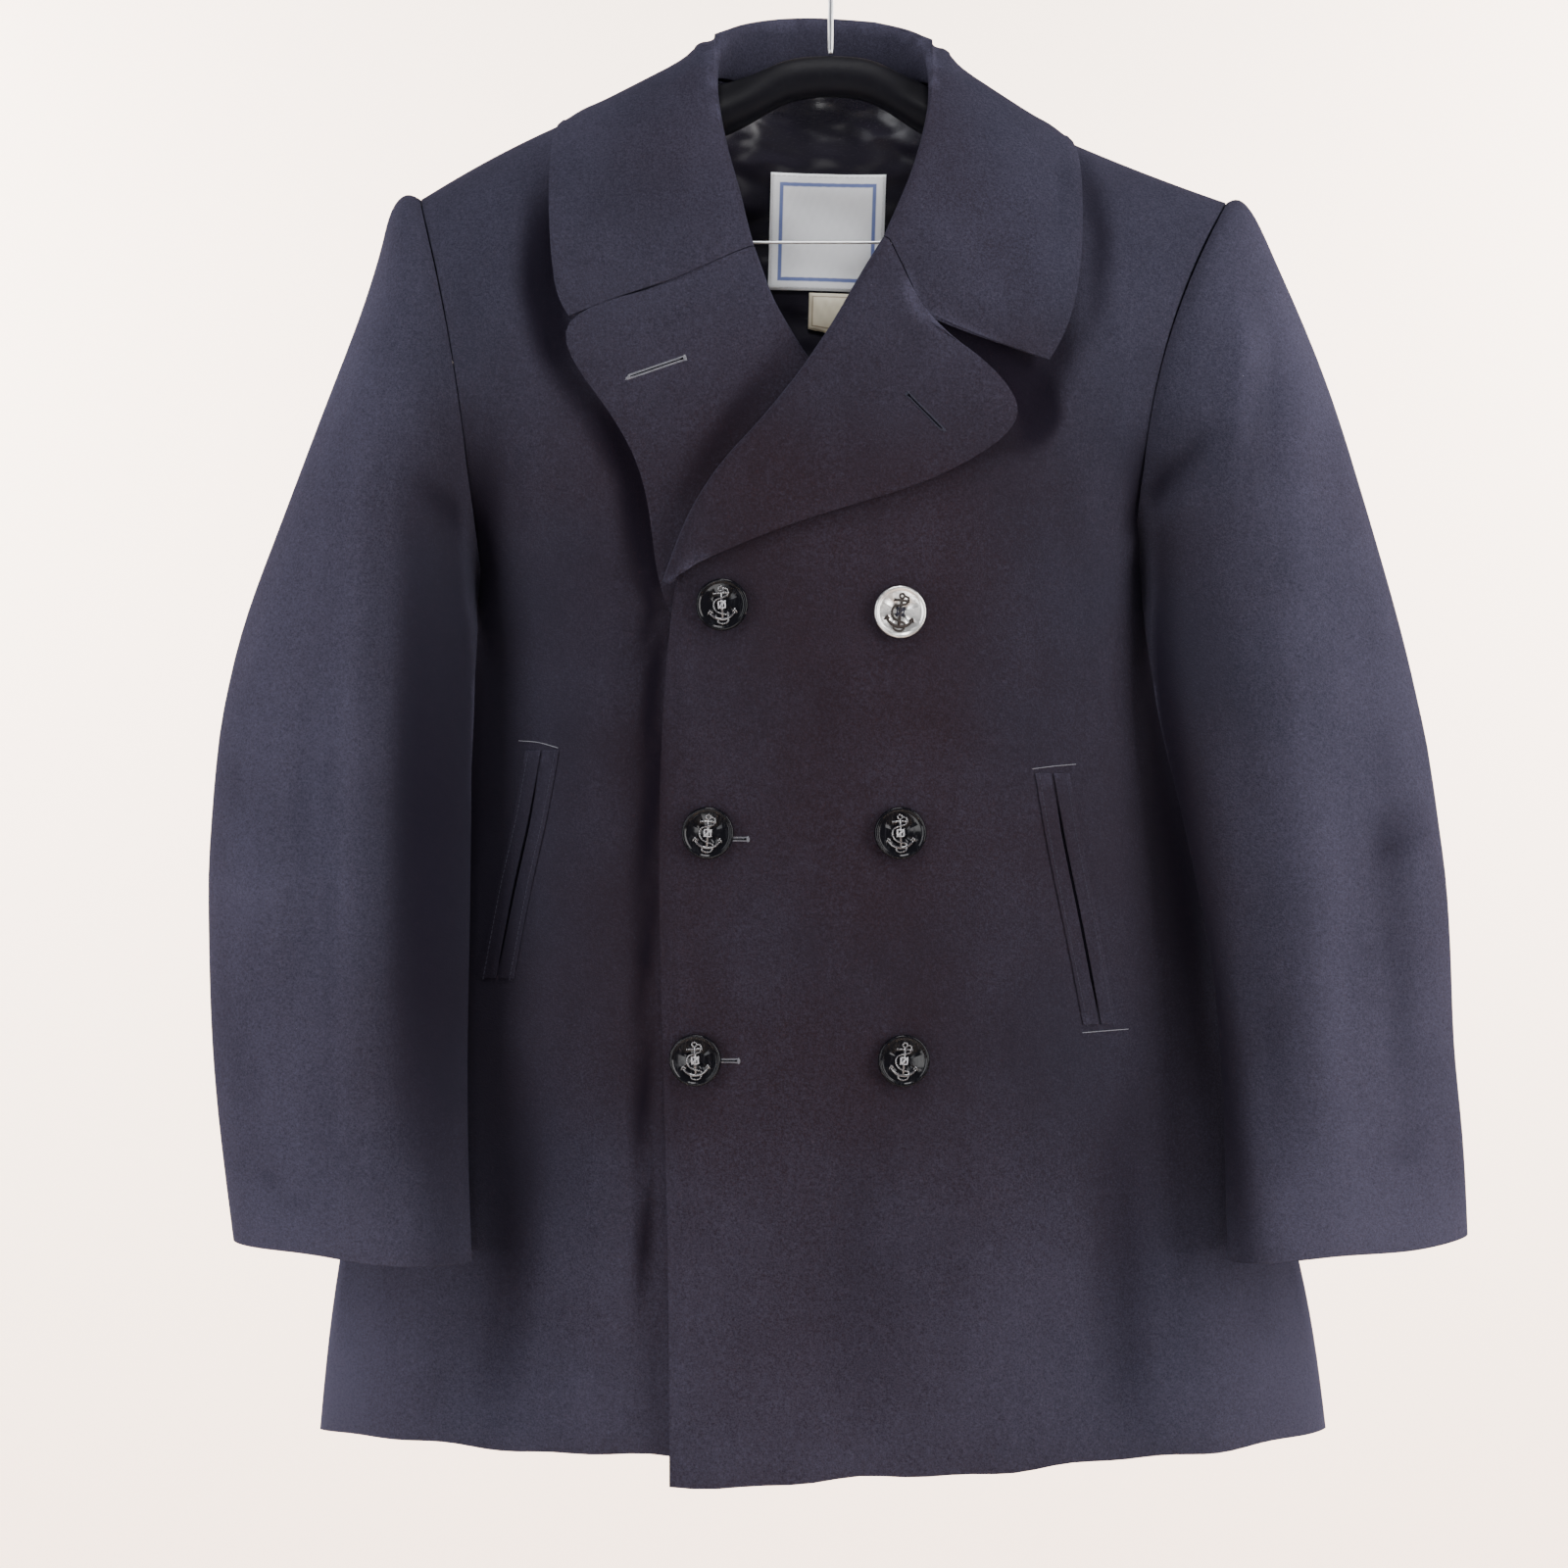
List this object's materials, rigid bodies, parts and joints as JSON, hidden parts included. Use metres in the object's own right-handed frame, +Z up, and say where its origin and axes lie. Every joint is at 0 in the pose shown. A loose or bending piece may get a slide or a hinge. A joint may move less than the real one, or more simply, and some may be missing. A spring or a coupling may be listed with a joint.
{
  "type": "pea coat on a hanger",
  "caption": "Double-breasted wool pea coat with wide lapels, turned-down collar and slanted welt pockets, hanging open at neck, cuffs and hem on a suit hanger.",
  "frame": {"origin": "the place under the hook's bend where it rests on a rail", "axes": "+Z up, the coat's front faces -Y, the wearer's left is at +X"},
  "size_m": [0.7116, 0.1407, 0.9045],
  "materials": {
    "wool": "very dark navy wool melton with a fine felted nap",
    "wool_collar": "the same melton, pressed at the collar and lapels",
    "wool_welt": "the same melton, pressed and topstitched",
    "satin_lining": "black satin with a soft sheen",
    "label_cloth": "white woven satin with a woven border",
    "tab_cloth": "beige woven tape",
    "black_button": "glossy black with a raised anchor",
    "silver_button": "worn silver-white face with a dark anchor",
    "hanger_plastic": "black, slightly worn",
    "hanger_steel": "drawn steel wire"
  },
  "bodies": {
    "root": {"front_right": "wool", "back_right": "wool", "top_sleeve_right": "wool", "under_sleeve_right": "wool", "front_left": "wool", "back_left": "wool", "top_sleeve_left": "wool", "under_sleeve_left": "wool", "lapel_left": "wool_collar", "lapel_right": "wool_collar", "collar": "wool_collar", "button_top_right": "black_button", "button_top_left": "silver_button", "button_middle_right": "black_button", "button_middle_left": "black_button", "button_bottom_right": "black_button", "button_bottom_left": "black_button", "pocket_jet_front_right": "wool_welt", "pocket_jet_side_right": "wool_welt", "pocket_jet_front_left": "wool_welt", "pocket_jet_side_left": "wool_welt", "neck_lining": "satin_lining", "label": "label_cloth", "size_tab": "tab_cloth", "hanger_body": "hanger_plastic", "hanger_hook": "hanger_steel", "hanger_bar": "hanger_steel"}
  },
  "joints": []
}
